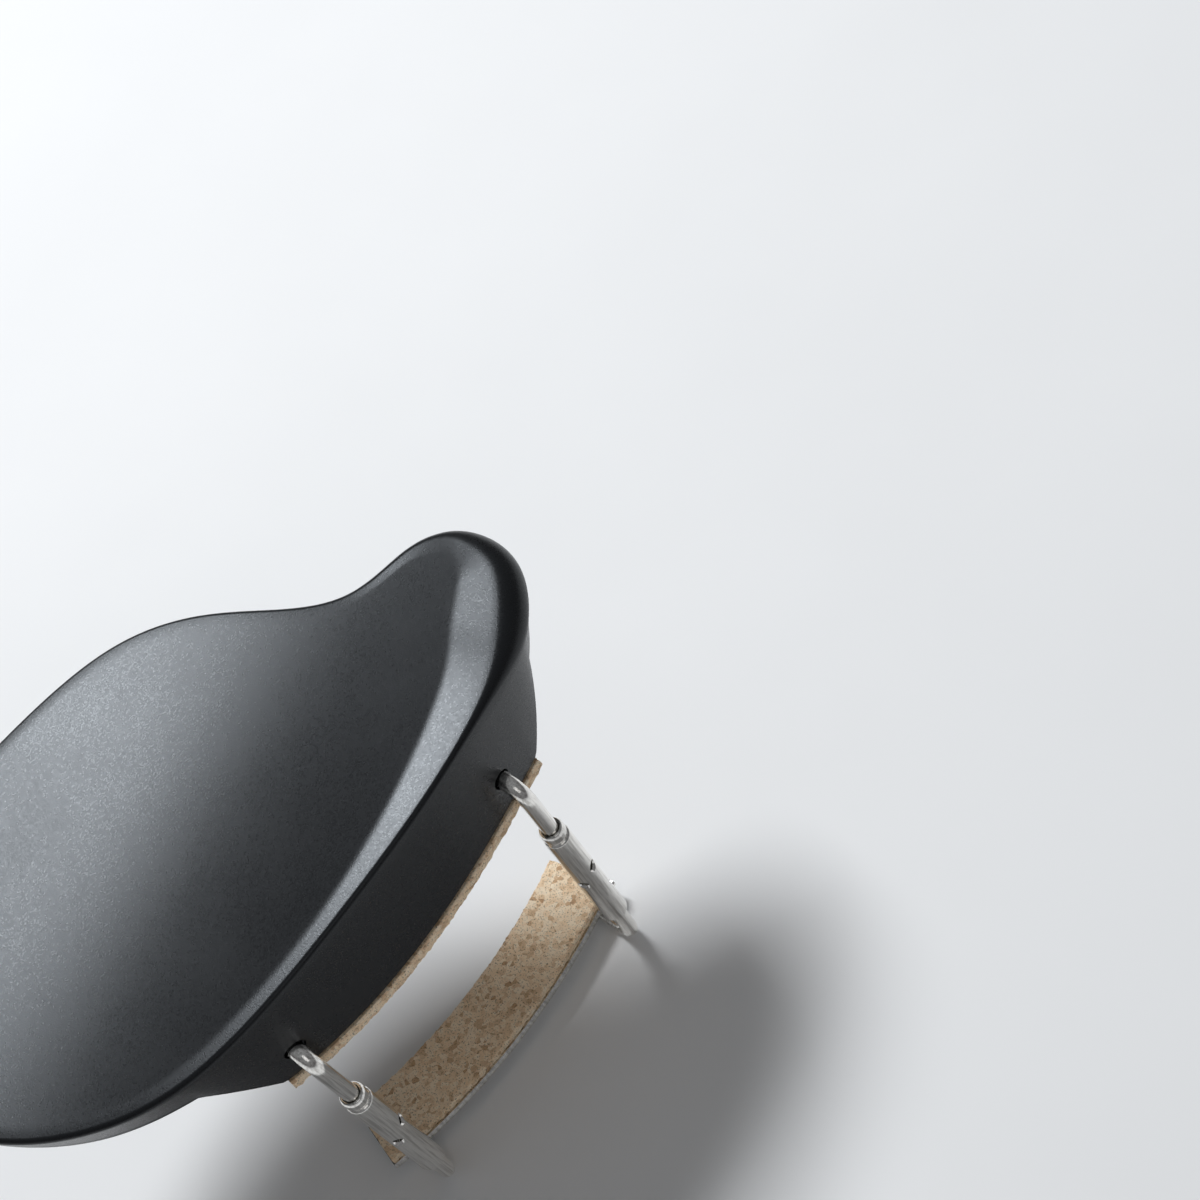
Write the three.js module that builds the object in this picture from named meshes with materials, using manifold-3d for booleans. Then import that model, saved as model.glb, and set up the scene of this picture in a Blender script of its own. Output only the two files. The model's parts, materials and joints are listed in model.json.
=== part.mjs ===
// Violin chin rest: a side-mounted cup with a turnbuckle clamp, standalone three.js model.
//
// Units are millimetres. +X points along the violin to its neck, +Y away from the tailpiece across
// the lower bout, +Z up. The origin lies on the flat underside of the foot's cork, which rests on
// the edge of the violin's top plate.

import * as THREE from 'three';
import { mergeVertices } from 'three/addons/utils/BufferGeometryUtils.js';
import Module from 'manifold-3d';

// ---- driving dimensions ----

// Rim of the plate, seen from above, clockwise from the lobe's tip.
// Each row: x, y, height of the underside, width of the land between dish and wall, radius of the
// land's outer edge, and how far the wall leans inwards on its way down.
const RIM = [
  [2.2, -48.6, 14.5, 6.0, 3.0, 0.4],
  [-5.0, -45.3, 14.5, 8.0, 3.4, 1.2],
  [-10.1, -36.1, 14.0, 9.1, 3.2, 1.1],
  [-10.9, -25.0, 13.0, 6.9, 1.2, 1.5],
  [-9.0, -9.8, 12.0, 4.5, 0.7, 1.1],
  [-5.4, 5.1, 11.5, 2.8, 0.7, 0.7],
  [-0.9, 19.0, 11.5, 2.3, 0.7, 1.6],
  [5.7, 32.0, 11.5, 2.1, 0.7, 2.8],
  [15.8, 41.0, 12.0, 1.9, 0.7, 1.5],
  [29.1, 46.3, 12.8, 1.8, 0.7, 0.7],
  [43.4, 46.4, 13.5, 1.8, 0.7, 0.0],
  [56.2, 39.6, 13.5, 1.8, 0.7, 0.0],
  [62.9, 24.8, 13.5, 1.8, 0.7, 0.0],
  [62.1, 8.9, 13.5, 1.8, 0.7, 0.0],
  [57.8, -6.0, 13.5, 1.8, 0.7, 0.0],
  [50.5, -20.1, 13.5, 1.8, 0.7, 0.0],
  [39.5, -28.4, 13.5, 1.8, 0.7, 0.0],
  [27.1, -32.2, 13.5, 1.8, 0.7, 0.0],
  [17.5, -36.5, 14.0, 1.9, 0.9, 0.0],
  [12.4, -43.3, 14.5, 2.4, 1.1, 0.0],
  [7.8, -47.3, 14.5, 3.9, 1.6, 0.0],
];
const PLATE_CENTRE = new THREE.Vector2(31, 5);
const UNDERSIDE_CENTRE_Z = 13.2;

// Dish: a bell-shaped hollow, sunk into a plane that falls towards the violin's neck.
const DISH = {
  x: 22.7, y: 16.5, depth: 9.9, spreadX: 34, spreadY: 70, planeZ: 29.3, slopeX: -0.085, slopeY: 0.034,
};
const LAND_CURVE = 100;

// Foot: the stretch of the wall that comes down to the violin's edge, with a sloping end each way.
// Its places along the rim are counted in rows of RIM.
const FOOT = { bottomZ: 2, depth: 10.4, flank: 2.4, corner: 0.5 };
const FOOT_SPAN = { archTop: 2.05, start: 2.87, end: 6.48, farTop: 7.1 };
const WALL_SPAN_BLEND = { near: 0.85, far: 2.4 };
const CORK_PROUD = 0.3;

// Clamp: two turnbuckles on a chord that is turned from the Y axis, x pointing into the wall.
const CLAMP_POSITION = new THREE.Vector3(-6.8, 1.2, 0);
const CLAMP_TURN = THREE.MathUtils.degToRad(-15.8);
const CLAMP_SPACING = 43;
const WALL_X = { near: 3, far: 2.7 };
const JAW_GAP = 37;
const ARM_Z = 8;
const ROD_RADIUS = 1.2;
const BEND_RADIUS = 3;
const UPPER_LEG_END_Z = -14.8;
const LOWER_LEG_TOP_Z = -24.2;
const INSERT = { radius: 2, length: 7, recess: 2 };
const MOUTH = { radius: 1.7, depth: 0.3 };
const BARREL = { radius: 1.95, length: 26, chamfer: 0.2, topZ: { near: -5.8, far: -7.4 } };
const NECK = { radius: 1.82, grooveRadius: 1.7, grooveLength: 0.5, length: 1.8, round: 0.3 };
const KEY_HOLE = {
  radius: 0.7, upperDepth: 10.3, lowerDepth: 13, turn: { near: Math.PI / 6, far: Math.PI / 3.5 },
};
const FOOT_PLATE = {
  thickness: 1.3, depth: 11, halfLength: 26, inset: 2, edgeRadius: 105, edgeX: 1.2,
};
const LOWER_ARM_END_X = 12.5;
const BACK_CORK = { thickness: 1.4, inset: 0.4 };
const CLEARANCE = 0.3;
const GLUE_LINE = 0.1;

const RIM_STEPS = 5;
const ROD_SIDES = 7;
const ROUND_SIDES = 28;

// ---- tools ----

const wasm = await Module();
wasm.setup();

function toManifold(geometry) {
  const bare = geometry.clone();
  bare.deleteAttribute('normal');
  bare.deleteAttribute('uv');
  const merged = mergeVertices(bare, 1e-4);
  const vertProperties = new Float32Array(merged.attributes.position.array);
  const triVerts = new Uint32Array(merged.index.array);
  return new wasm.Manifold(new wasm.Mesh({ numProp: 3, vertProperties, triVerts }));
}

function fromManifold(manifold) {
  const mesh = manifold.getMesh();
  const geometry = new THREE.BufferGeometry();
  geometry.setAttribute('position', new THREE.BufferAttribute(mesh.vertProperties, 3));
  geometry.setIndex(new THREE.BufferAttribute(mesh.triVerts, 1));
  geometry.computeVertexNormals();
  return geometry;
}

function cut(geometry, cutters) {
  const remaining = cutters.reduce(
    (solid, cutter) => solid.subtract(toManifold(cutter)),
    toManifold(geometry),
  );
  return fromManifold(remaining);
}

function mix(a, b, share) {
  return a + (b - a) * share;
}

function ramp(value, from, to) {
  return THREE.MathUtils.clamp((value - from) / (to - from), 0, 1);
}

// A closed cubic B-spline through every row. The rows may hold more than coordinates.
function smoothLoop(rows) {
  const count = rows.length;
  const control = rows.map((row) => [...row]);
  for (let pass = 0; pass < 40; pass += 1) {
    for (let i = 0; i < count; i += 1) {
      const before = control[(i + count - 1) % count];
      const after = control[(i + 1) % count];
      control[i] = rows[i].map((value, k) => (6 * value - before[k] - after[k]) / 4);
    }
  }
  return (t, slope = false) => {
    const i = Math.floor(t);
    const f = t - i;
    const weights = slope
      ? [-((1 - f) ** 2) / 2, (3 * f * f - 4 * f) / 2, (1 + 2 * f - 3 * f * f) / 2, (f * f) / 2]
      : [(1 - f) ** 3 / 6, (3 * f ** 3 - 6 * f * f + 4) / 6,
        (1 + 3 * f + 3 * f * f - 3 * f ** 3) / 6, f ** 3 / 6];
    return rows[0].map((_, k) => weights.reduce(
      (sum, weight, j) => sum + weight * control[(i + j - 1 + count) % count][k],
      0,
    ));
  };
}

// ---- moulded body ----

const rimLoop = smoothLoop(RIM);

function dishZ(plan) {
  const u = (plan.x - DISH.x) / DISH.spreadX;
  const v = (plan.y - DISH.y) / DISH.spreadY;
  const plane = DISH.planeZ + DISH.slopeX * plan.x + DISH.slopeY * plan.y;
  return plane - DISH.depth * Math.exp(-(u * u + v * v) / 2);
}

// Rises from 0 at a to 1 at b, and falls from 1 at c to 0 at d.
function plateau(value, a, b, c, d) {
  return ramp(value, a, b) * ramp(value, d, c);
}

// Everything that the section at one place of the rim needs.
function rimAt(t) {
  const [x, y, under, land, rounding, lean] = rimLoop(t);
  const [dx, dy] = rimLoop(t, true);
  const outline = new THREE.Vector2(x, y);
  const inward = new THREE.Vector2(dy, -dx).normalize();
  const { archTop, start, end, farTop } = FOOT_SPAN;
  const { near, far } = WALL_SPAN_BLEND;
  const foot = plateau(t, archTop, start, end, farTop);
  const wall = plateau(t, archTop - near, archTop, farTop, farTop + far);
  const straight = plateau(t, archTop - near, archTop, farTop, farTop + near);
  const centreward = PLATE_CENTRE.clone().sub(outline).normalize();
  const underDirection = centreward.lerp(inward, straight).normalize();
  return { outline, inward, underDirection, under, land, rounding, lean, foot, wall };
}

// Points of the section from the dish's centre out over the crest, down the wall and back under.
function bodySection(t) {
  const rim = rimAt(t);
  const points = [];
  const add = (plan, z) => points.push([plan.x, plan.y, z]);
  const edge = (depth) => rim.outline.clone().addScaledVector(rim.inward, depth);
  const crestPlan = edge(rim.land);
  for (const share of [0.22, 0.42, 0.6, 0.76, 0.89, 1]) {
    const plan = PLATE_CENTRE.clone().lerp(crestPlan, share);
    add(plan, dishZ(plan));
  }
  const edgeTilt = Math.atan(rim.land / LAND_CURVE);
  const landEnd = rim.rounding * (1 - Math.sin(edgeTilt));
  const landZ = (depth) => dishZ(crestPlan) - (rim.land - depth) ** 2 / (2 * LAND_CURVE);
  const landMiddle = mix(rim.land, landEnd, 0.5);
  add(edge(landMiddle), landZ(landMiddle));
  const wallTop = landZ(landEnd) - rim.rounding * Math.cos(edgeTilt);
  for (const share of [0, 0.33, 0.67, 1]) {
    const angle = mix(edgeTilt, Math.PI / 2, share);
    add(edge(rim.rounding * (1 - Math.sin(angle))), wallTop + rim.rounding * Math.cos(angle));
  }
  const edgeZ = mix(rim.under, FOOT.bottomZ, rim.foot);
  const corner = mix((wallTop - rim.under) * 0.6, FOOT.corner, rim.wall);
  for (const angle of [0, 30, 60, 90].map(THREE.MathUtils.degToRad)) {
    add(edge(rim.lean + corner * (1 - Math.cos(angle))), edgeZ + corner * (1 - Math.sin(angle)));
  }
  const reach = rim.outline.distanceTo(PLATE_CENTRE);
  const undersideZ = (depth) => mix(UNDERSIDE_CENTRE_Z, rim.under, (1 - depth / reach) ** 2);
  for (const [depth, lift] of [[5, 0], [FOOT.depth, 0], [FOOT.depth + 0.7, 0.2],
    [FOOT.depth + FOOT.flank * 0.7, 0.85], [FOOT.depth + FOOT.flank, 1]]) {
    const level = mix(FOOT.bottomZ, undersideZ(depth), lift);
    const plan = rim.outline.clone().addScaledVector(rim.underDirection, rim.lean + depth);
    add(plan, mix(undersideZ(depth), level, rim.foot));
  }
  const innerDepth = FOOT.depth + FOOT.flank;
  const innerPlan = rim.outline.clone().addScaledVector(rim.underDirection, rim.lean + innerDepth);
  for (const share of [0.3, 0.6, 0.85]) {
    const depth = mix(innerDepth, reach, share);
    add(innerPlan.clone().lerp(PLATE_CENTRE, share), undersideZ(depth));
  }
  return points;
}

function bodyShell() {
  const columns = RIM.length * RIM_STEPS;
  const sections = Array.from({ length: columns }, (_, i) => bodySection(i / RIM_STEPS));
  const rings = sections[0].length;
  const positions = sections.flat(2);
  const { x, y } = PLATE_CENTRE;
  positions.push(x, y, dishZ(PLATE_CENTRE), x, y, UNDERSIDE_CENTRE_Z);
  const topPole = columns * rings;
  const bottomPole = topPole + 1;
  const index = [];
  for (let i = 0; i < columns; i += 1) {
    const here = i * rings;
    const next = ((i + 1) % columns) * rings;
    index.push(topPole, next, here);
    for (let j = 0; j < rings - 1; j += 1) {
      index.push(here + j, next + j, next + j + 1);
      index.push(here + j, next + j + 1, here + j + 1);
    }
    index.push(here + rings - 1, next + rings - 1, bottomPole);
  }
  const geometry = new THREE.BufferGeometry();
  geometry.setAttribute('position', new THREE.Float32BufferAttribute(positions, 3));
  geometry.setIndex(index);
  return geometry;
}

// ---- clamp frame ----

const SIDES = { near: -CLAMP_SPACING / 2, far: CLAMP_SPACING / 2 };

const clampMatrix = new THREE.Matrix4()
  .makeRotationZ(CLAMP_TURN)
  .setPosition(CLAMP_POSITION);

// Blind cavity moulded round one insert, with a chamfered mouth for the leg, in the body's frame.
function insertCavity(side) {
  const radius = INSERT.radius + CLEARANCE;
  const throat = ROD_RADIUS + CLEARANCE;
  const start = INSERT.recess - CLEARANCE;
  const end = INSERT.recess + INSERT.length + CLEARANCE;
  const profile = [[0, -2], [MOUTH.radius, -2], [MOUTH.radius, 0], [throat, MOUTH.depth],
    [throat, start], [radius, start], [radius, end], [0, end]];
  const geometry = new THREE.LatheGeometry(profile.map(([r, z]) => new THREE.Vector2(r, z)), ROUND_SIDES);
  geometry.rotateZ(-Math.PI / 2);
  geometry.translate(WALL_X[side], SIDES[side], ARM_Z);
  return geometry.applyMatrix4(clampMatrix);
}

function chinRestBody() {
  return cut(bodyShell(), ['near', 'far'].map(insertCavity));
}

function footCork() {
  const from = FOOT_SPAN.start + 0.02;
  const to = FOOT_SPAN.end - 0.02;
  const steps = 14;
  const stations = Array.from({ length: steps + 1 }, (_, i) => rimAt(mix(from, to, i / steps)));
  const edge = (rim, depth) => rim.outline.clone().addScaledVector(rim.inward, depth);
  const outer = stations.map((rim) => edge(rim, rim.lean - CORK_PROUD));
  const inner = stations.map((rim) => edge(rim, rim.lean + FOOT.depth - CORK_PROUD)).reverse();
  return new THREE.ExtrudeGeometry(new THREE.Shape([...outer, ...inner]), {
    depth: FOOT.bottomZ - GLUE_LINE,
    bevelEnabled: false,
  });
}

// ---- clamp pieces ----

// An L from an arm's end at (armX, armZ), round a bend on to the z axis, and along it to tipZ.
class LegPath extends THREE.Curve {
  constructor(armX, armZ, tipZ) {
    super();
    this.armX = armX;
    this.armZ = armZ;
    this.tipZ = tipZ;
  }

  getPoint(t, target = new THREE.Vector3()) {
    const arm = this.armX - BEND_RADIUS;
    const bend = (BEND_RADIUS * Math.PI) / 2;
    const shank = Math.abs(this.tipZ - this.armZ) - BEND_RADIUS;
    const along = t * (arm + bend + shank);
    const onArm = Math.max(0, arm - along);
    const onShank = Math.max(0, along - arm - bend);
    const angle = THREE.MathUtils.clamp((along - arm) / BEND_RADIUS, 0, Math.PI / 2);
    const rise = BEND_RADIUS * (1 - Math.cos(angle)) + onShank;
    const x = BEND_RADIUS * (1 - Math.sin(angle)) + onArm;
    return target.set(x, 0, this.armZ + Math.sign(this.tipZ - this.armZ) * rise);
  }
}

function leg(armX, armZ, tipZ) {
  const section = new THREE.Shape();
  section.absarc(0, 0, ROD_RADIUS, 0, Math.PI * 2);
  return new THREE.ExtrudeGeometry(section, {
    steps: 28,
    curveSegments: ROD_SIDES,
    bevelEnabled: false,
    extrudePath: new LegPath(armX, armZ, tipZ),
  });
}

// A ring turned about the z axis. Its profile closes on itself.
function turned(profile) {
  const points = [...profile, profile[0]].map(([r, z]) => new THREE.Vector2(r, z));
  return new THREE.LatheGeometry(points, ROUND_SIDES).rotateX(Math.PI / 2);
}

function insert() {
  const bore = ROD_RADIUS + CLEARANCE;
  const { radius, length } = INSERT;
  return turned([[bore, 0], [radius, 0], [radius, length], [bore, length]]).rotateY(Math.PI / 2);
}

// The barrel hangs down the z axis from the shoulder under its neck.
function barrel() {
  const { radius, length, chamfer } = BARREL;
  const bore = ROD_RADIUS + CLEARANCE;
  const neckTop = NECK.grooveLength + NECK.length;
  const body = turned([
    [bore, -length], [radius - chamfer, -length], [radius, chamfer - length],
    [radius, -chamfer], [radius - chamfer, 0], [NECK.grooveRadius, 0],
    [NECK.grooveRadius, NECK.grooveLength], [NECK.radius, NECK.grooveLength],
    [NECK.radius, neckTop - NECK.round], [NECK.radius - NECK.round / 2, neckTop], [bore, neckTop],
  ]);
  const drill = () => new THREE.CylinderGeometry(KEY_HOLE.radius, KEY_HOLE.radius, radius * 3, 12);
  const lower = drill().translate(0, 0, -KEY_HOLE.lowerDepth);
  const upper = drill().rotateZ(Math.PI / 2).translate(0, 0, -KEY_HOLE.upperDepth);
  return cut(body, [lower, upper]);
}

// A strip that follows the violin's edge, inset from it by the given distance.
function edgeStrip(inset, depth, halfLength, thickness) {
  const outer = FOOT_PLATE.edgeRadius - inset;
  const inner = outer - depth;
  const half = halfLength / outer;
  const shape = new THREE.Shape();
  shape.absarc(0, 0, outer, Math.PI - half, Math.PI + half, false);
  shape.absarc(0, 0, inner, Math.PI + half, Math.PI - half, true);
  const geometry = new THREE.ExtrudeGeometry(shape, {
    depth: thickness,
    curveSegments: 14,
    bevelEnabled: false,
  });
  return geometry.translate(FOOT_PLATE.edgeRadius + FOOT_PLATE.edgeX, 0, 0);
}

// ---- assembly ----

const plastic = new THREE.MeshStandardMaterial({ color: 0x24262b, roughness: 0.5, metalness: 0 });
const nickel = new THREE.MeshStandardMaterial({ color: 0xc9c6bf, roughness: 0.2, metalness: 1 });
const brass = new THREE.MeshStandardMaterial({ color: 0xb5914a, roughness: 0.35, metalness: 1 });
const cork = new THREE.MeshStandardMaterial({ color: 0xc79b6b, roughness: 0.9, metalness: 0 });

const chinRest = new THREE.Group();
const clamp = new THREE.Group();
clamp.position.copy(CLAMP_POSITION);
clamp.rotation.z = CLAMP_TURN;
chinRest.add(clamp);

function place(parent, name, geometry, material, x = 0, y = 0, z = 0) {
  const mesh = new THREE.Mesh(geometry, material);
  mesh.name = name;
  mesh.position.set(x, y, z);
  parent.add(mesh);
  return mesh;
}

place(chinRest, 'chin_rest_body', chinRestBody(), plastic);
place(chinRest, 'foot_cork', footCork(), cork);

const plateTopZ = -JAW_GAP - BACK_CORK.thickness - GLUE_LINE;
const plateBottomZ = plateTopZ - FOOT_PLATE.thickness;
const lowerArmZ = plateBottomZ - CLEARANCE - ROD_RADIUS;

for (const side of ['near', 'far']) {
  const y = SIDES[side];
  const wall = WALL_X[side];
  const armEnd = wall + INSERT.recess + INSERT.length - CLEARANCE;
  place(clamp, `insert_${side}`, insert(), brass, wall + INSERT.recess, y, ARM_Z);
  place(clamp, `upper_leg_${side}`, leg(armEnd, ARM_Z, UPPER_LEG_END_Z), nickel, 0, y, 0);
  const turnbuckle = place(clamp, `barrel_${side}`, barrel(), nickel, 0, y, BARREL.topZ[side]);
  turnbuckle.rotation.z = KEY_HOLE.turn[side];
  place(clamp, `lower_leg_${side}`, leg(LOWER_ARM_END_X, lowerArmZ, LOWER_LEG_TOP_Z), nickel, 0, y, 0);
}

const plate = edgeStrip(FOOT_PLATE.inset, FOOT_PLATE.depth, FOOT_PLATE.halfLength, FOOT_PLATE.thickness);
place(clamp, 'foot_plate', plate, nickel, 0, 0, plateBottomZ);
const pad = edgeStrip(
  FOOT_PLATE.inset + BACK_CORK.inset,
  FOOT_PLATE.depth - 2 * BACK_CORK.inset,
  FOOT_PLATE.halfLength - BACK_CORK.inset,
  BACK_CORK.thickness,
);
place(clamp, 'foot_plate_cork', pad, cork, 0, 0, plateTopZ + GLUE_LINE);

export default chinRest;
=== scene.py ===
# Violin chin rest with a turnbuckle clamp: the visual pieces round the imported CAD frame.
# Shapes are worked out in millimetres in the frame's axes and scaled to metres in make_mesh.

import json
import math

import bmesh
import bpy
import numpy as np
from mathutils import Matrix, Vector, noise

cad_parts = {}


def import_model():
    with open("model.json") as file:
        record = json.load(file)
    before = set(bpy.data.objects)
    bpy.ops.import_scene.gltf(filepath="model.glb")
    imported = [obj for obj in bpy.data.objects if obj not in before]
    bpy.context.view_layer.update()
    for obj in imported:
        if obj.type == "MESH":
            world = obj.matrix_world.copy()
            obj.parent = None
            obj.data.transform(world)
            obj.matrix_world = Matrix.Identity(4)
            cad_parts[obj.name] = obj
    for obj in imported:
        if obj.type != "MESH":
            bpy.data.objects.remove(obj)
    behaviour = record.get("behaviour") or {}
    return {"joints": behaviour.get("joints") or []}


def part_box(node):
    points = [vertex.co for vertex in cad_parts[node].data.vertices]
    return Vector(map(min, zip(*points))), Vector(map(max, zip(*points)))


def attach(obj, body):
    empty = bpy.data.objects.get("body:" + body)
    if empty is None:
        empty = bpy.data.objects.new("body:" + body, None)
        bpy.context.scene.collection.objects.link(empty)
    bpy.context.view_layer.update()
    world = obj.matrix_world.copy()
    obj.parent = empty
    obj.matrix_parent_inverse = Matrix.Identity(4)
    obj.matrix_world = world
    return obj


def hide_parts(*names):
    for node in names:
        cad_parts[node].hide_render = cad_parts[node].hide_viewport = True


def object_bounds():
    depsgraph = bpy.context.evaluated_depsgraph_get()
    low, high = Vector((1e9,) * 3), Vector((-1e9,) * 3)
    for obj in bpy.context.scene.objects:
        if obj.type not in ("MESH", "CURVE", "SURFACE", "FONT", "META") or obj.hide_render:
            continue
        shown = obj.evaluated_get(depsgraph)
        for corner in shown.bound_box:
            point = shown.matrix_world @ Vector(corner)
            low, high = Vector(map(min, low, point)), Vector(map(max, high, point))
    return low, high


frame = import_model()
cad_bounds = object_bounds()

MM = 0.001
SIDES = ("near", "far")

# ---- driving dimensions, in millimetres, as the CAD model has them ----

# Rim of the plate, seen from above, clockwise from the lobe's tip.
# Each row: x, y, height of the underside, width of the land between dish and wall, radius of the
# land's outer edge, and how far the wall leans inwards on its way down.
RIM = np.array([
    [2.2, -48.6, 14.5, 6.0, 3.0, 0.4],
    [-5.0, -45.3, 14.5, 8.0, 3.4, 1.2],
    [-10.1, -36.1, 14.0, 9.1, 3.2, 1.1],
    [-10.9, -25.0, 13.0, 6.9, 1.2, 1.5],
    [-9.0, -9.8, 12.0, 4.5, 0.7, 1.1],
    [-5.4, 5.1, 11.5, 2.8, 0.7, 0.7],
    [-0.9, 19.0, 11.5, 2.3, 0.7, 1.6],
    [5.7, 32.0, 11.5, 2.1, 0.7, 2.8],
    [15.8, 41.0, 12.0, 1.9, 0.7, 1.5],
    [29.1, 46.3, 12.8, 1.8, 0.7, 0.7],
    [43.4, 46.4, 13.5, 1.8, 0.7, 0.0],
    [56.2, 39.6, 13.5, 1.8, 0.7, 0.0],
    [62.9, 24.8, 13.5, 1.8, 0.7, 0.0],
    [62.1, 8.9, 13.5, 1.8, 0.7, 0.0],
    [57.8, -6.0, 13.5, 1.8, 0.7, 0.0],
    [50.5, -20.1, 13.5, 1.8, 0.7, 0.0],
    [39.5, -28.4, 13.5, 1.8, 0.7, 0.0],
    [27.1, -32.2, 13.5, 1.8, 0.7, 0.0],
    [17.5, -36.5, 14.0, 1.9, 0.9, 0.0],
    [12.4, -43.3, 14.5, 2.4, 1.1, 0.0],
    [7.8, -47.3, 14.5, 3.9, 1.6, 0.0],
])
PLATE_CENTRE = np.array([31.0, 5.0])
UNDERSIDE_CENTRE_Z = 13.2

# Dish: a bell-shaped hollow, sunk into a plane that falls towards the violin's neck.
DISH_DEPTH = 9.9
DISH_MIDDLE = np.array([22.7, 16.5])
DISH_SPREAD = np.array([34.0, 70.0])
DISH_PLANE_Z = 29.3
DISH_PLANE_SLOPE = np.array([-0.085, 0.034])
CREASE = 0.7
LAND_CURVE = 100.0

# Foot: the stretch of the wall that comes down to the violin's edge, with a sloping end each way.
# Its places along the rim are counted in rows of RIM.
FOOT_BOTTOM_Z = 2.0
FOOT_DEPTH = 10.4
FOOT_FLANK = 2.4
FOOT_CORNER = 0.5
FOOT_SPAN = {"arch_top": 2.05, "start": 2.87, "end": 6.48, "far_top": 7.1}
WALL_SPAN_BLEND = {"near": 0.85, "far": 2.4}
CORK_PROUD = 0.3

# Clamp. WALL_X is the wall's place on each side's x axis, seen from its turnbuckle.
WALL_X = {"near": 3.0, "far": 2.7}
ROD_RADIUS = 1.2
ROD_SEGMENTS = 48
BEND_RADIUS = 3.0
UPPER_ARM_IN_WALL = 8.7
LOWER_ARM_END_X = 12.5
THREAD = {"pitch": 0.5, "depth": 0.25, "length": 7.0}
ROD_END_ROUNDING = {"arm": 0.5, "shank": 0.3}
ROD_END_TAPER = {"arm": 0.4, "shank": 0.3}
INSERT_RADIUS = 2.0
INSERT_BORE = 1.3
INSERT_LENGTH = 7.0
INSERT_RECESS = 2.0
CAVITY_GAP = 0.05
CAVITY_DEPTH = 9.3
MOUTH_DEPTH = 1.7
BARREL_RADIUS = 1.95
BARREL_BORE = 1.28
BARREL_LENGTH = 26.0
BARREL_CHAMFER = 0.3
NECK_LENGTH = 2.3
KEY_HOLE = {"radius": 0.7, "flare": 1.1, "upper_depth": 10.3, "lower_depth": 13.0}
KEY_TURN = {"near": math.pi / 6, "far": math.pi / 3.5}

# Plate under the violin's back, whose edge is an arc, and the cork on the plate.
EDGE_RADIUS = 105.0
EDGE_X = 1.2
PLATE_DEPTH = 11.0
PLATE_INSET = 2.0
PLATE_HALF_LENGTH = 26.0
BACK_CORK_INSET = 0.4

CORK_GRAIN = 0.55
CORK_CORNER = 0.25
CORK_SPACING = 0.3
CORK_STEPS = 170


# ---- small helpers ----

def mix(a, b, share):
    return a + (b - a) * share


def ramp(value, start, end):
    return np.clip((value - start) / (end - start), 0.0, 1.0)


def smoothstep(share):
    return share * share * (3 - 2 * share)


def unit(vectors):
    return vectors / np.linalg.norm(vectors, axis=-1, keepdims=True)


def circle(count):
    """Angles evenly spaced round a circle."""
    return np.linspace(0, 2 * math.pi, count, endpoint=False)


def make_mesh(name, points, faces, smooth_angle=35):
    """A smooth-shaded object from points in millimetres, with its faces turned outwards."""
    mesh = bpy.data.meshes.new(name)
    mesh.from_pydata((np.asarray(points) * MM).tolist(), [], faces)
    shell = bmesh.new()
    shell.from_mesh(mesh)
    bmesh.ops.recalc_face_normals(shell, faces=shell.faces)
    shell.to_mesh(mesh)
    shell.free()
    mesh.polygons.foreach_set("use_smooth", [True] * len(mesh.polygons))
    mesh.set_sharp_from_angle(angle=math.radians(smooth_angle))
    piece = bpy.data.objects.new(name, mesh)
    bpy.context.scene.collection.objects.link(piece)
    return piece


def quads_between(rings, columns, wrap_rings=False):
    """Quads of a grid of points stored ring after ring, each ring closed on itself."""
    faces = []
    for ring in range(rings if wrap_rings else rings - 1):
        here = ring * columns
        above = ((ring + 1) % rings) * columns
        for column in range(columns):
            beside = (column + 1) % columns
            faces.append((here + column, here + beside, above + beside, above + column))
    return faces


def capped_loft(name, rings, start, end, smooth_angle=35):
    """A closed surface through an array of rings, drawn together to a point at each end."""
    count, columns, _ = rings.shape
    points = np.concatenate([rings.reshape(-1, 3), [start, end]])
    faces = quads_between(count, columns)
    first_pole = count * columns
    last = (count - 1) * columns
    for column in range(columns):
        beside = (column + 1) % columns
        faces.append((first_pole, beside, column))
        faces.append((last + column, last + beside, first_pole + 1))
    return make_mesh(name, points, faces, smooth_angle)


def turned_ring(name, profile, segments=96):
    """A body turned about the z axis from a closed profile of (radius, z) rows."""
    profile = np.asarray(profile)
    angles = circle(segments)
    radius = profile[:, 0, None]
    rings = np.stack([
        radius * np.cos(angles),
        radius * np.sin(angles),
        np.broadcast_to(profile[:, 1, None], (len(profile), segments)),
    ], axis=-1)
    faces = quads_between(len(profile), segments, wrap_rings=True)
    return make_mesh(name, rings.reshape(-1, 3), faces)


def apply_modifiers(piece):
    """Bakes the piece's modifiers into its mesh."""
    bpy.context.view_layer.update()
    graph = bpy.context.evaluated_depsgraph_get()
    mesh = bpy.data.meshes.new_from_object(piece.evaluated_get(graph), depsgraph=graph)
    piece.modifiers.clear()
    piece.data = mesh


def subtract(piece, cutters, smooth_angle=35):
    """Cuts the cutters out of the piece and removes them from the scene."""
    for cutter in cutters:
        cutter.hide_render = True
        modifier = piece.modifiers.new("cut", "BOOLEAN")
        modifier.operation = "DIFFERENCE"
        modifier.solver = "MANIFOLD"
        modifier.object = cutter
    apply_modifiers(piece)
    for cutter in cutters:
        bpy.data.objects.remove(cutter)
    piece.data.set_sharp_from_angle(angle=math.radians(smooth_angle))


# ---- clamp frame: its y axis runs from the near turnbuckle to the far one, x into the wall ----

def joint_place(name):
    joint = next(joint for joint in frame["joints"] if joint["name"] == name)
    return Vector(joint["pos_m"]) / MM


AXES = {side: joint_place(f"barrel_{side}_spin") for side in SIDES}
CLAMP_CHORD = AXES["far"] - AXES["near"]
CLAMP_TURN = math.atan2(-CLAMP_CHORD.x, CLAMP_CHORD.y)


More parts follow.
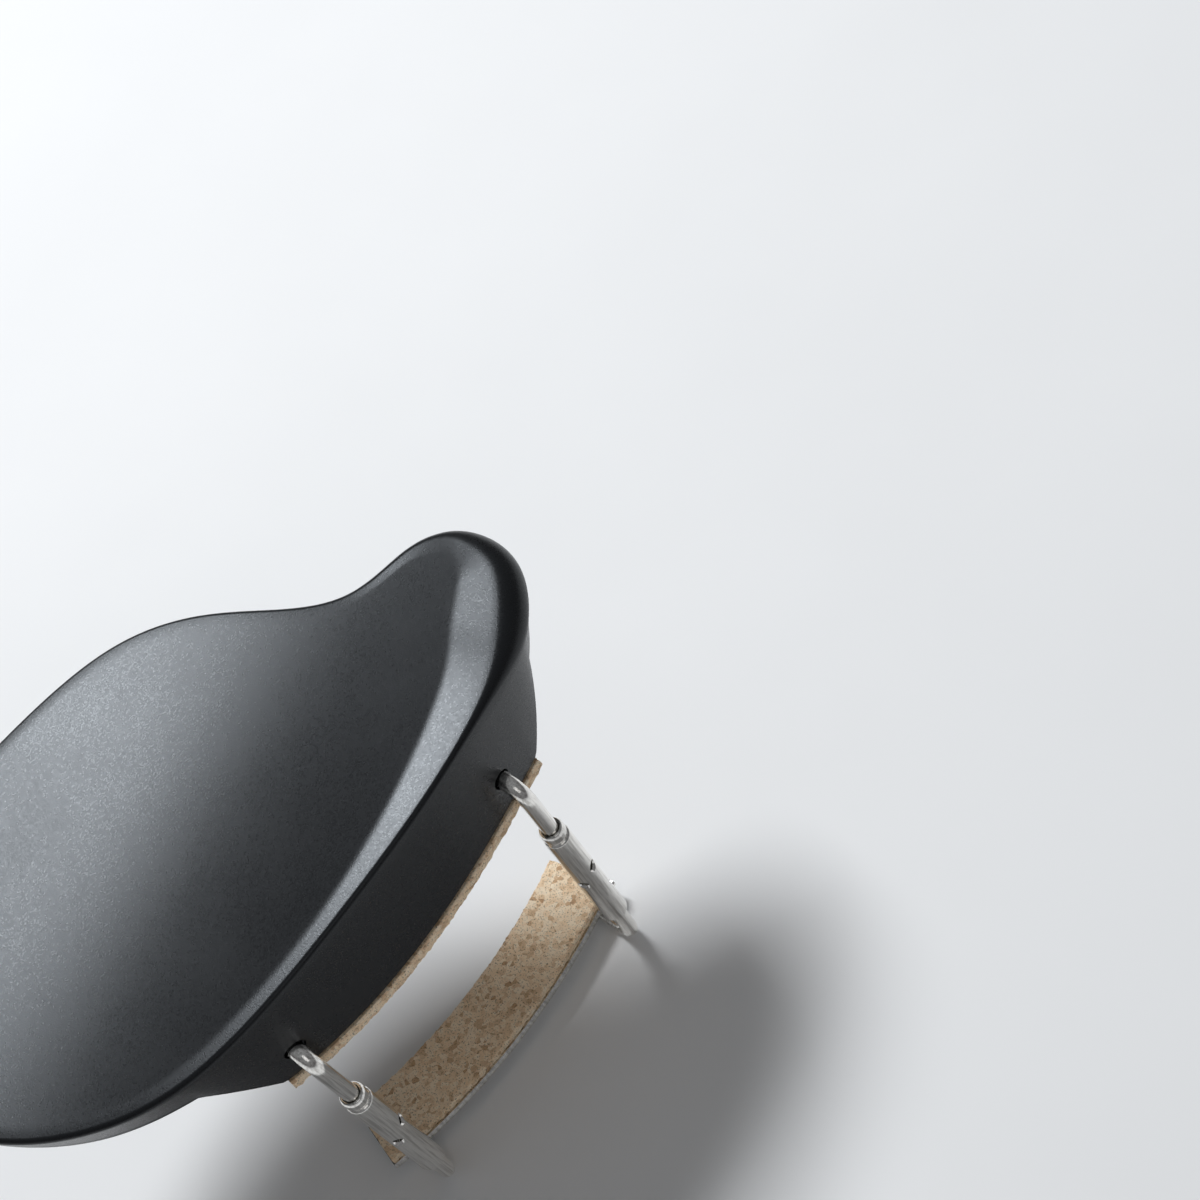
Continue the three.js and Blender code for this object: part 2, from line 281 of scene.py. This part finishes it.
def side_matrix(side):
    """From a turnbuckle's own axes to the frame's, in metres."""
    axis = AXES[side]
    place = Matrix.Translation(Vector((axis.x, axis.y, 0)) * MM)
    return place @ Matrix.Rotation(CLAMP_TURN, 4, "Z")


def move_mesh(piece, matrix):
    piece.data.transform(matrix)
    return piece


def node_z(node, corner):
    """The lowest (corner 0) or highest (corner 1) z of a CAD node, in millimetres."""
    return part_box(node)[corner].z / MM


# ---- moulded body ----

def rim_control_points():
    """Control points of the closed cubic B-spline that passes through every row of RIM."""
    count = len(RIM)
    same = np.eye(count) * 4
    beside = np.roll(np.eye(count), 1, axis=0) + np.roll(np.eye(count), -1, axis=0)
    return np.linalg.solve((same + beside) / 6, RIM)


RIM_CONTROL = rim_control_points()


def rim_loop(t):
    """Rows of RIM's values and of their slopes at the given places along the rim."""
    i = np.floor(t).astype(int)
    f = (t - i)[:, None]
    weights = [(1 - f) ** 3, 3 * f**3 - 6 * f**2 + 4, 1 + 3 * f + 3 * f**2 - 3 * f**3, f**3]
    slopes = [-((1 - f) ** 2), 3 * f**2 - 4 * f, 1 + 2 * f - 3 * f**2, f**2]
    nearby = [RIM_CONTROL[(i + step) % len(RIM)] for step in (-1, 0, 1, 2)]
    values = sum(w / 6 * row for w, row in zip(weights, nearby))
    slope = sum(s / 2 * row for s, row in zip(slopes, nearby))
    return values, slope


def dish_z(plan):
    across = (plan - DISH_MIDDLE) / DISH_SPREAD
    hollow = DISH_DEPTH * np.exp(-(across**2).sum(axis=-1) / 2)
    return DISH_PLANE_Z + plan @ DISH_PLANE_SLOPE - hollow


def plateau(value, a, b, c, d):
    """Rises from 0 at a to 1 at b, and falls from 1 at c to 0 at d."""
    return ramp(value, a, b) * ramp(value, d, c)


class RimSections:
    """What the body's section needs at each of a row of places along the rim."""

    def __init__(self, t):
        values, slope = rim_loop(t)
        self.outline = values[:, :2]
        self.under, self.land, self.rounding, self.lean = values[:, 2:].T
        self.inward = unit(np.stack([slope[:, 1], -slope[:, 0]], axis=-1))
        arch_top, start, end, far_top = FOOT_SPAN.values()
        near, far = WALL_SPAN_BLEND.values()
        self.foot = plateau(t, arch_top, start, end, far_top)
        self.wall = plateau(t, arch_top - near, arch_top, far_top, far_top + far)
        straight = plateau(t, arch_top - near, arch_top, far_top, far_top + near)
        centreward = unit(PLATE_CENTRE - self.outline)
        self.under_direction = unit(mix(centreward, self.inward, straight[:, None]))
        self.reach = np.linalg.norm(PLATE_CENTRE - self.outline, axis=-1)
        self.crest = self.edge(self.land)

    def edge(self, depth):
        """Plan points at a depth inward from the outline."""
        return self.outline + self.inward * np.broadcast_to(depth, self.land.shape)[:, None]

    def below(self, depth):
        """Plan points of the underside at a depth from the wall's lower edge."""
        return self.outline + self.under_direction * (self.lean + depth)[:, None]

    def underside_z(self, depth):
        return mix(UNDERSIDE_CENTRE_Z, self.under, (1 - depth / self.reach) ** 2)

    def land_z(self, depth):
        """The land is level at the crest and curves down towards the wall."""
        return dish_z(self.crest) - (self.land - depth) ** 2 / (2 * LAND_CURVE)


def ring_at(plan, z):
    return np.column_stack([plan, np.broadcast_to(z, len(plan))])


def land_ring(rim, depth):
    return ring_at(rim.edge(depth), rim.land_z(depth))


def dish_ring(rim, share):
    plan = mix(PLATE_CENTRE, rim.crest, share[:, None])
    return ring_at(plan, dish_z(plan))


def dish_rings(rim):
    """From the dish's middle up to the crest, and over the rounded crease on to the land."""
    width = np.linalg.norm(rim.crest - PLATE_CENTRE, axis=-1)
    last = 1 - CREASE / width
    for share in np.linspace(0.03, 1, 36):
        yield dish_ring(rim, last * share)
    inside = dish_ring(rim, last)
    crest = dish_ring(rim, np.ones_like(last))
    outside = land_ring(rim, rim.land - CREASE)
    for t in np.linspace(0, 1, 8)[1:-1]:
        yield (1 - t) ** 2 * inside + 2 * t * (1 - t) * crest + t**2 * outside


def wall_rings(rim):
    """From the crease over the land and its outer rounding, down the wall and round its corner."""
    edge_tilt = np.arctan(rim.land / LAND_CURVE)
    land_end = rim.rounding * (1 - np.sin(edge_tilt))
    for share in np.linspace(0, 1, 7)[:-1]:
        yield land_ring(rim, mix(rim.land - CREASE, land_end, share))
    wall_top = rim.land_z(land_end) - rim.rounding * np.cos(edge_tilt)
    for share in np.linspace(0, 1, 12):
        angle = mix(edge_tilt, math.pi / 2, share)
        depth = rim.rounding * (1 - np.sin(angle))
        yield ring_at(rim.edge(depth), wall_top + rim.rounding * np.cos(angle))
    edge_z = mix(rim.under, FOOT_BOTTOM_Z, rim.foot)
    corner = mix((wall_top - rim.under) * 0.6, FOOT_CORNER, rim.wall)
    for share in np.linspace(0, 1, 10)[1:-1]:
        yield ring_at(rim.edge(rim.lean * share), mix(wall_top, edge_z + corner, share))
    for angle in np.radians(np.linspace(0, 90, 9)):
        depth = rim.lean + corner * (1 - math.cos(angle))
        yield ring_at(rim.edge(depth), edge_z + corner * (1 - math.sin(angle)))


def underside_rings(rim):
    """From the wall's corner along the foot's flat, up its flank and in to the middle."""
    for depth in (3.0, 6.0, 8.5, FOOT_DEPTH):
        level = rim.underside_z(depth)
        yield ring_at(rim.below(depth), mix(level, FOOT_BOTTOM_Z, rim.foot))
    for share in np.linspace(0, 1, 9)[1:]:
        depth = FOOT_DEPTH + FOOT_FLANK * share
        level = rim.underside_z(depth)
        drop = (level - FOOT_BOTTOM_Z) * (1 - smoothstep(share)) * rim.foot
        yield ring_at(rim.below(depth), level - drop)
    inner_depth = FOOT_DEPTH + FOOT_FLANK
    inner_plan = rim.below(inner_depth)
    for share in np.linspace(0, 0.96, 16)[1:]:
        depth = mix(inner_depth, rim.reach, share)
        yield ring_at(mix(inner_plan, PLATE_CENTRE, share), rim.underside_z(depth))


def insert_cavity(side):
    """The hole in the wall that one leg goes into, widened behind its mouth for the insert."""
    pocket_radius = INSERT_RADIUS + CAVITY_GAP
    outside = -2.0
    profile = np.array([
        [1.65, outside], [1.65, 0], [1.54, 0.12], [1.46, 0.3], [1.42, 0.55],
        [1.42, MOUTH_DEPTH], [pocket_radius, MOUTH_DEPTH], [pocket_radius, CAVITY_DEPTH],
    ])
    angles = circle(96)
    rings = np.stack([
        np.broadcast_to(profile[:, 1, None], (len(profile), len(angles))),
        profile[:, 0, None] * np.cos(angles),
        profile[:, 0, None] * np.sin(angles),
    ], axis=-1)
    cutter = capped_loft(f"cavity_{side}", rings, (outside, 0, 0), (CAVITY_DEPTH, 0, 0))
    arm_z = node_z(f"upper_leg_{side}", 1) - ROD_RADIUS
    mouth = Matrix.Translation(Vector((WALL_X[side], 0, arm_z)) * MM)
    return move_mesh(cutter, side_matrix(side) @ mouth)


def chin_rest_body():
    steps = 18
    rim = RimSections(np.arange(len(RIM) * steps) / steps)
    rings = np.array([*dish_rings(rim), *wall_rings(rim), *underside_rings(rim)])
    top = (*PLATE_CENTRE, dish_z(PLATE_CENTRE))
    bottom = (*PLATE_CENTRE, UNDERSIDE_CENTRE_Z)
    body = capped_loft("moulded_body", rings, top, bottom, smooth_angle=30)
    subtract(body, [insert_cavity(side) for side in SIDES], smooth_angle=30)
    return body


# ---- clamp pieces ----

def rod(name, route, radii):
    """A round rod along a planar route; radii holds a row of radii for each place on it."""
    points, normals = route
    angles = circle(ROD_SEGMENTS)
    across = np.array([0.0, 1.0, 0.0])
    rings = (
        points[:, None]
        + radii[..., None] * np.cos(angles)[:, None] * normals[:, None]
        + radii[..., None] * np.sin(angles)[:, None] * across
    )
    return capped_loft(name, rings, points[0], points[-1])


def leg_route(arm_x, arm_z, tip_z, along):
    """Points and in-plane normals of an L: an arm from x = arm_x, a bend, a shank to tip_z."""
    arm = arm_x - BEND_RADIUS
    bend = BEND_RADIUS * math.pi / 2
    angle = np.clip((along - arm) / BEND_RADIUS, 0, math.pi / 2)
    on_arm = np.maximum(0, arm - along)
    on_shank = np.maximum(0, along - arm - bend)
    down = math.copysign(1, tip_z - arm_z)
    x = BEND_RADIUS * (1 - np.sin(angle)) + on_arm
    rise = BEND_RADIUS * (1 - np.cos(angle)) + on_shank
    points = np.stack([x, np.zeros_like(x), arm_z + down * rise], axis=-1)
    normals = np.stack([np.sin(angle), np.zeros_like(x), down * np.cos(angle)], axis=-1)
    return points, normals


def leg(name, arm_x, arm_z, tip_z, hand):
    """An L-shaped rod whose shank ends in a thread; hand is 1 for right-handed, -1 for left."""
    arm_rounding, shank_rounding = ROD_END_ROUNDING.values()
    total = arm_x + abs(tip_z - arm_z) + BEND_RADIUS * (math.pi / 2 - 2)
    thread_start = total - THREAD["length"]
    plain = np.linspace(arm_rounding, thread_start, 90)
    threaded = np.arange(thread_start, total - shank_rounding, THREAD["pitch"] / 8)
    tip_angles = np.radians([15, 40, 65, 85])
    arm_tip = arm_rounding * (1 - np.sin(tip_angles[::-1]))
    shank_tip = total - shank_rounding * (1 - np.sin(tip_angles))
    along = np.concatenate([[0], arm_tip, plain[:-1], threaded, shank_tip, [total]])
    angles = circle(ROD_SEGMENTS)
    turns = (along[:, None] - thread_start) / THREAD["pitch"] - hand * angles / (2 * math.pi)
    ridge = np.abs((turns % 1) - 0.5) * 2
    run_in = ramp(along, thread_start, thread_start + THREAD["pitch"])[:, None]
    radii = ROD_RADIUS - THREAD["depth"] * ridge * run_in
    near_start = np.minimum(along / arm_rounding, 1)
    near_end = np.minimum((total - along) / shank_rounding, 1)
    radii = radii - (1 - np.sqrt(near_start * (2 - near_start)))[:, None] * ROD_END_TAPER["arm"]
    radii = radii - (1 - np.sqrt(near_end * (2 - near_end)))[:, None] * ROD_END_TAPER["shank"]
    return rod(name, leg_route(arm_x, arm_z, tip_z, along), radii)


def filleted(profile, radius=0.12, steps=3):
    """A closed (radius, z) outline with every corner rounded."""
    rounded = []
    profile = np.asarray(profile, float)
    previous = np.roll(profile, 1, axis=0)
    following = np.roll(profile, -1, axis=0)
    for before, corner, after in zip(previous, profile, following):
        room = min(np.linalg.norm(before - corner), np.linalg.norm(after - corner)) * 0.45
        reach = min(radius, room)
        start = corner + unit(before - corner) * reach
        end = corner + unit(after - corner) * reach
        for t in np.linspace(0, 1, steps + 1):
            rounded.append((1 - t) ** 2 * start + 2 * t * (1 - t) * corner + t**2 * end)
    return rounded


def key_drill(depth, turn):
    """A cutter for a cross hole with a chamfered rim on both sides of the barrel."""
    narrow = KEY_HOLE["radius"]
    wide = narrow + KEY_HOLE["flare"]
    flare_start = 1.6
    end = flare_start + KEY_HOLE["flare"]
    profile = [(wide, -end), (narrow, -flare_start), (narrow, flare_start), (wide, end)]
    angles = circle(48)
    rings = np.array([
        np.column_stack([np.full_like(angles, x), radius * np.cos(angles), radius * np.sin(angles)])
        for radius, x in profile
    ])
    cutter = capped_loft("drill", rings, (-end, 0, 0), (end, 0, 0))
    place = Matrix.Translation((0, 0, -depth * MM)) @ Matrix.Rotation(turn, 4, "Z")
    return move_mesh(cutter, place)


def barrel(side):
    """The tube, with a groove and a neck ring above its shoulder, which is at z = 0 when turned."""
    radius, length, chamfer = BARREL_RADIUS, BARREL_LENGTH, BARREL_CHAMFER
    profile = filleted([
        (BARREL_BORE, -length), (radius - chamfer, -length), (radius, chamfer - length),
        (radius, -chamfer), (radius - chamfer, 0), (1.58, 0), (1.58, 0.5), (1.82, 0.6),
        (1.82, 1.8), (1.6, 2.25), (BARREL_BORE, NECK_LENGTH),
    ])
    piece = turned_ring(f"turnbuckle_barrel_{side}", profile)
    subtract(piece, [
        key_drill(KEY_HOLE["upper_depth"], 0),
        key_drill(KEY_HOLE["lower_depth"], math.pi / 2),
    ])
    shoulder_z = node_z(f"barrel_{side}", 0) + length
    place = Matrix.Translation((0, 0, shoulder_z * MM)) @ Matrix.Rotation(KEY_TURN[side], 4, "Z")
    return move_mesh(piece, side_matrix(side) @ place)


def insert(side):
    """A plain bush with rounded edges, in the wall behind the mouth of its hole."""
    profile = filleted([
        (INSERT_BORE, 0), (INSERT_RADIUS, 0),
        (INSERT_RADIUS, INSERT_LENGTH), (INSERT_BORE, INSERT_LENGTH),
    ], radius=0.25)
    piece = turned_ring(f"threaded_insert_{side}", profile)
    arm_z = node_z(f"upper_leg_{side}", 1) - ROD_RADIUS
    place = Matrix.Translation(Vector((WALL_X[side] + INSERT_RECESS, 0, arm_z)) * MM)
    return move_mesh(piece, side_matrix(side) @ place @ Matrix.Rotation(math.pi / 2, 4, "Y"))


# ---- cork and plate ----

def rounded_section(width, height, corner, spacing):
    """A closed outline of a rounded rectangle centred on the origin, in evenly spaced points."""
    half = np.array([width, height]) / 2 - corner
    corners = [(1, 1), (-1, 1), (-1, -1), (1, -1)]
    path = []
    for quarter, (sx, sy) in enumerate(corners):
        for angle in np.linspace(0, math.pi / 2, 7) + quarter * math.pi / 2:
            x = sx * half[0] + corner * math.cos(angle)
            y = sy * half[1] + corner * math.sin(angle)
            path.append((x, y))
    path = np.array(path + path[:1])
    lengths = np.concatenate([[0], np.cumsum(np.linalg.norm(np.diff(path, axis=0), axis=-1))])
    count = int(lengths[-1] / spacing)
    places = np.linspace(0, lengths[-1], count, endpoint=False)
    return np.column_stack([np.interp(places, lengths, path[:, k]) for k in (0, 1)])


def crumble(piece, amount, grain):
    """Pushes a cork surface in and out in granules of about the given size."""
    mesh = piece.data
    scale = 1 / (grain * MM)
    for vertex in mesh.vertices:
        place = vertex.co * scale
        cells = noise.voronoi(place)[0]
        pit = min(cells[1] - cells[0], 0.5) * 2 - 0.6
        rough = noise.fractal(place * 0.45, 0.8, 2.1, 4)
        vertex.co += vertex.normal * (0.55 * pit + 0.6 * rough) * amount * MM
    mesh.update()


def strip(name, centres, across, width, height, corner, spacing):
    """A strip of rounded section along its centre points, its ends closed by shrinking rings."""
    section = rounded_section(width, height, corner, spacing)
    up = np.array([0, 0, 1.0])
    rings = []
    for centre, side in zip(centres, across):
        rings.append(centre + section[:, :1] * side + section[:, 1:] * up)
    inner = [0.97, 0.75, 0.5, 0.25]
    first = [mix(centres[0], rings[0], share) for share in inner[::-1]]
    last = [mix(centres[-1], rings[-1], share) for share in inner]
    return capped_loft(name, np.array([*first, *rings, *last]), centres[0], centres[-1])


def foot_cork():
    end_gap = 0.02
    places = np.linspace(FOOT_SPAN["start"] + end_gap, FOOT_SPAN["end"] - end_gap, CORK_STEPS)
    rim = RimSections(places)
    thickness = node_z("foot_cork", 1)
    plan = rim.edge(rim.lean - CORK_PROUD + FOOT_DEPTH / 2)
    centres = ring_at(plan, thickness / 2)
    across = ring_at(-rim.inward, 0)
    piece = strip("foot_cork_pad", centres, across, FOOT_DEPTH, thickness, CORK_CORNER, CORK_SPACING)
    crumble(piece, 0.22, CORK_GRAIN)
    return piece


def edge_strip(name, node, margin, corner, spacing, steps):
    """A strip along the violin's edge, as large as the plate less a margin all round."""
    low, high = node_z(node, 0), node_z(node, 1)
    depth = PLATE_DEPTH - 2 * margin
    outer_radius = EDGE_RADIUS - PLATE_INSET - margin
    middle = outer_radius - depth / 2
    half_angle = (PLATE_HALF_LENGTH - margin) / outer_radius
    angles = math.pi + np.linspace(-half_angle, half_angle, steps)
    outward = np.column_stack([np.cos(angles), np.sin(angles), np.zeros(steps)])
    centre = np.array([EDGE_RADIUS + EDGE_X, 0, (low + high) / 2])
    piece = strip(name, centre + outward * middle, outward, depth, high - low, corner, spacing)
    between = (AXES["near"] + AXES["far"]) / 2
    place = Matrix.Translation(Vector((between.x, between.y, 0)) * MM)
    return move_mesh(piece, place @ Matrix.Rotation(CLAMP_TURN, 4, "Z"))


# ---- materials ----

class Shader:
    """A new material and short ways to add and link its nodes."""

    def __init__(self, name, **inputs):
        self.material = bpy.data.materials.new(name)
        self.material.use_nodes = True
        self.tree = self.material.node_tree
        self.surface = self.tree.nodes["Principled BSDF"]
        for key, value in inputs.items():
            self.surface.inputs[key.replace("_", " ")].default_value = value
        self.place = self.tree.nodes.new("ShaderNodeTexCoord").outputs["Object"]

    def node(self, kind, settings=None, **inputs):
        node = self.tree.nodes.new(kind)
        for key, value in (settings or {}).items():
            setattr(node, key, value)
        for key, value in inputs.items():
            self.feed(node.inputs[key.replace("_", " ")], value)
        return node

    def feed(self, socket, value):
        if isinstance(value, bpy.types.NodeSocket):
            self.tree.links.new(value, socket)
        else:
            socket.default_value = value

    def noise(self, size, detail=3.0, roughness=0.6, place=None):
        """Noise whose features are about size millimetres across, from 0 to 1."""
        vector = place or self.place
        node = self.node(
            "ShaderNodeTexNoise", Vector=vector, Scale=1 / (size * MM), Detail=detail, Roughness=roughness,
        )
        return node.outputs["Fac"]

    def cells(self, size):
        """Cells about size millimetres across, each of its own random value."""
        node = self.node("ShaderNodeTexVoronoi", Vector=self.place, Scale=1 / (size * MM))
        return node.outputs["Color"]

    def ramp(self, source, *stops):
        node = self.node("ShaderNodeValToRGB", Fac=source)
        elements = node.color_ramp.elements
        while len(elements) < len(stops):
            elements.new(0.5)
        for element, (position, colour) in zip(elements, stops):
            element.position = position
            grey = isinstance(colour, float)
            element.color = (colour, colour, colour, 1) if grey else (*colour, 1)
        return node.outputs["Color"]

    def spread(self, source, low, high, start=0.3, end=0.7):
        """The source's values from start to end, mapped on to low to high."""
        node = self.node(
            "ShaderNodeMapRange", Value=source, From_Min=start, From_Max=end, To_Min=low, To_Max=high,
        )
        return node.outputs["Result"]

    def maths(self, operation, first, second):
        node = self.node("ShaderNodeMath", {"operation": operation})
        self.feed(node.inputs[0], first)
        self.feed(node.inputs[1], second)
        return node.outputs[0]

    def bump(self, height, distance, strength=1.0, normal=None):
        """Distance is in millimetres."""
        node = self.node("ShaderNodeBump", Height=height, Distance=distance * MM, Strength=strength)
        if normal:
            self.feed(node.inputs["Normal"], normal)
        return node.outputs["Normal"]

    def finish(self, colour=None, roughness=None, normal=None):
        for key, value in (("Base Color", colour), ("Roughness", roughness), ("Normal", normal)):
            if value:
                self.feed(self.surface.inputs[key], value)
        return self.material


def moulded_plastic():
    shader = Shader(
        "moulded_plastic", IOR=1.5, Specular_IOR_Level=0.3, Specular_Tint=(0.9, 0.95, 1.0, 1.0),
    )
    broad = shader.noise(14, detail=2)
    grain = shader.noise(0.22, detail=3, roughness=0.7)
    coarse = shader.noise(1.1, detail=2)
    colour = shader.ramp(broad, (0.3, (0.0045, 0.0048, 0.0054)), (0.7, (0.0065, 0.0068, 0.0074)))
    speckle = shader.spread(shader.cells(0.2), 0.26, 0.34, 0.1, 0.9)
    roughness = shader.maths("ADD", speckle, shader.spread(broad, -0.015, 0.015))
    fine = shader.bump(grain, 0.02, 0.8)
    normal = shader.bump(coarse, 0.008, 0.3, fine)
    return shader.finish(colour, roughness, normal)


def nickel():
    shader = Shader("nickel", Metallic=1.0)
    cloud = shader.noise(3, detail=3)
    lengthwise = shader.node("ShaderNodeMapping", Vector=shader.place, Scale=(1, 1, 0.04))
    draw_marks_and_painted_reflections = shader.noise(0.35, detail=3, place=lengthwise.outputs["Vector"])
    # The dark lengthwise streaks in the base colour are painted reflections of dark surroundings. The same
    # streaks, as draw marks, also set the roughness and the bump.
    colour = shader.ramp(draw_marks_and_painted_reflections, (0.36, (0.6, 0.58, 0.545)), (0.56, (0.95, 0.93, 0.89)))
    roughness = shader.maths("ADD", shader.spread(cloud, 0.1, 0.16), shader.spread(draw_marks_and_painted_reflections, -0.03, 0.06))
    normal = shader.bump(draw_marks_and_painted_reflections, 0.03, 0.5)
    return shader.finish(colour, roughness, normal)


def brass():
    shader = Shader("brass", Metallic=1.0)
    cloud = shader.noise(1.5)
    colour = shader.ramp(cloud, (0.3, (0.6, 0.42, 0.19)), (0.7, (0.72, 0.54, 0.28)))
    roughness = shader.spread(cloud, 0.25, 0.4)
    return shader.finish(colour, roughness, shader.bump(shader.noise(0.3), 0.01, 0.3))


def cork():
    shader = Shader("cork", Roughness=0.9)
    tint = shader.ramp(
        shader.cells(0.7), (0.0, (0.5, 0.3, 0.16)), (0.35, (0.86, 0.64, 0.42)), (1.0, (0.97, 0.82, 0.62)),
    )
    flecks = shader.spread(shader.noise(0.25, detail=4), 0.35, 1.0, 0.34, 0.46)
    colour = shader.node("ShaderNodeMix", {"data_type": "RGBA", "blend_type": "MULTIPLY"})
    colour.inputs["Factor"].default_value = 1
    shader.feed(colour.inputs["A"], tint)
    shader.feed(colour.inputs["B"], flecks)
    normal = shader.bump(shader.noise(0.2, detail=4), 0.05, 0.6)
    return shader.finish(colour.outputs["Result"], None, normal)


MATERIALS = {
    "moulded_plastic": moulded_plastic(),
    "nickel": nickel(),
    "brass": brass(),
    "cork": cork(),
}


def fit(piece, node, body, slot):
    """Puts a piece in its CAD node's place, with its material, riding on its body."""
    piece.data.materials.clear()
    piece.data.materials.append(MATERIALS[slot])
    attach(piece, body)
    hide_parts(node)


def build_pieces():
    fit(chin_rest_body(), "chin_rest_body", "chin_rest", "moulded_plastic")
    fit(foot_cork(), "foot_cork", "chin_rest", "cork")
    lower_arm_z = node_z("lower_leg_near", 0) + ROD_RADIUS
    upper_arm_z = node_z("upper_leg_near", 1) - ROD_RADIUS
    for side in SIDES:
        fit(insert(side), f"insert_{side}", "chin_rest", "brass")
        arm_end = WALL_X[side] + UPPER_ARM_IN_WALL
        tip_z = node_z(f"upper_leg_{side}", 0)
        upper = leg(f"clamp_leg_upper_{side}", arm_end, upper_arm_z, tip_z, hand=-1)
        fit(move_mesh(upper, side_matrix(side)), f"upper_leg_{side}", "chin_rest", "nickel")
        fit(barrel(side), f"barrel_{side}", f"barrel_{side}", "nickel")
        tip_z = node_z(f"lower_leg_{side}", 1)
        lower = leg(f"clamp_leg_lower_{side}", LOWER_ARM_END_X, lower_arm_z, tip_z, hand=1)
        fit(move_mesh(lower, side_matrix(side)), f"lower_leg_{side}", "bracket", "nickel")
    plate = edge_strip("clamp_foot_plate", "foot_plate", 0, corner=0.35, spacing=0.5, steps=80)
    fit(plate, "foot_plate", "bracket", "nickel")
    pad = edge_strip(
        "clamp_plate_cork", "foot_plate_cork", BACK_CORK_INSET, CORK_CORNER, CORK_SPACING, CORK_STEPS,
    )
    crumble(pad, 0.2, CORK_GRAIN)
    fit(pad, "foot_plate_cork", "bracket", "cork")


# ---- stage ----

def camera():
    """The camera, in metres in the frame's axes."""
    data = bpy.data.cameras.new("camera")
    data.lens = 68.05
    data.clip_start = 0.01
    piece = bpy.data.objects.new("camera", data)
    place = Vector((-0.1494, 0.0625, 0.2549))
    aim = Vector((-0.0079, -0.0514, 0.0012))
    roll = Matrix.Rotation(math.radians(-32.37), 4, "Z")
    turn = (aim - place).to_track_quat("-Z", "Y").to_matrix().to_4x4()
    piece.matrix_world = Matrix.Translation(place) @ turn @ roll
    bpy.context.scene.collection.objects.link(piece)
    bpy.context.scene.camera = piece


def softbox(name, direction, distance, size, power, colour=(1, 1, 1)):
    """A rectangular light at a distance in metres, turned towards the frame's origin."""
    data = bpy.data.lights.new(name, "AREA")
    data.shape = "RECTANGLE"
    data.size, data.size_y = size
    data.energy = power
    data.color = colour
    piece = bpy.data.objects.new(name, data)
    place = Vector(direction).normalized() * distance
    turn = (-place).to_track_quat("-Z", "Y").to_matrix().to_4x4()
    piece.matrix_world = Matrix.Translation(place) @ turn
    bpy.context.scene.collection.objects.link(piece)


def floor():
    """A pale floor, level with the part's lowest point at rest."""
    shader = Shader("floor", Roughness=0.8)
    colour = shader.ramp(shader.noise(60), (0.3, 0.8), (0.7, 0.82))
    material = shader.finish(colour)
    half = 1500
    level = cad_bounds[0][2] / MM
    corners = [
        (-half, -half, level), (half, -half, level), (half, half, level), (-half, half, level),
    ]
    piece = make_mesh("floor", corners, [(0, 1, 2, 3)])
    piece.data.materials.append(material)


def world():
    """Even grey light that darkens a little towards the horizon."""
    scene_world = bpy.data.worlds.new("studio")
    scene_world.use_nodes = True
    tree = scene_world.node_tree
    background = tree.nodes["Background"]
    place = tree.nodes.new("ShaderNodeTexCoord")
    parts = tree.nodes.new("ShaderNodeSeparateXYZ")
    shade = tree.nodes.new("ShaderNodeValToRGB")
    tree.links.new(place.outputs["Generated"], parts.inputs["Vector"])
    tree.links.new(parts.outputs["Z"], shade.inputs["Fac"])
    tree.links.new(shade.outputs["Color"], background.inputs["Color"])
    shade.color_ramp.elements[0].position = 0.2
    shade.color_ramp.elements[0].color = (0.15, 0.15, 0.155, 1)
    shade.color_ramp.elements[1].position = 0.8
    shade.color_ramp.elements[1].color = (0.2, 0.207, 0.215, 1)
    background.inputs["Strength"].default_value = 1
    bpy.context.scene.world = scene_world


bpy.context.scene.view_settings.view_transform = "Standard"
camera()
world()
floor()
softbox("key", (0.465, -0.275, 0.84), 0.9, (0.28, 0.22), 7.9, (0.95, 0.975, 1.0))
softbox("fill", (-0.7, 0.3, 0.7), 1.2, (0.6, 0.6), 0.7)
build_pieces()
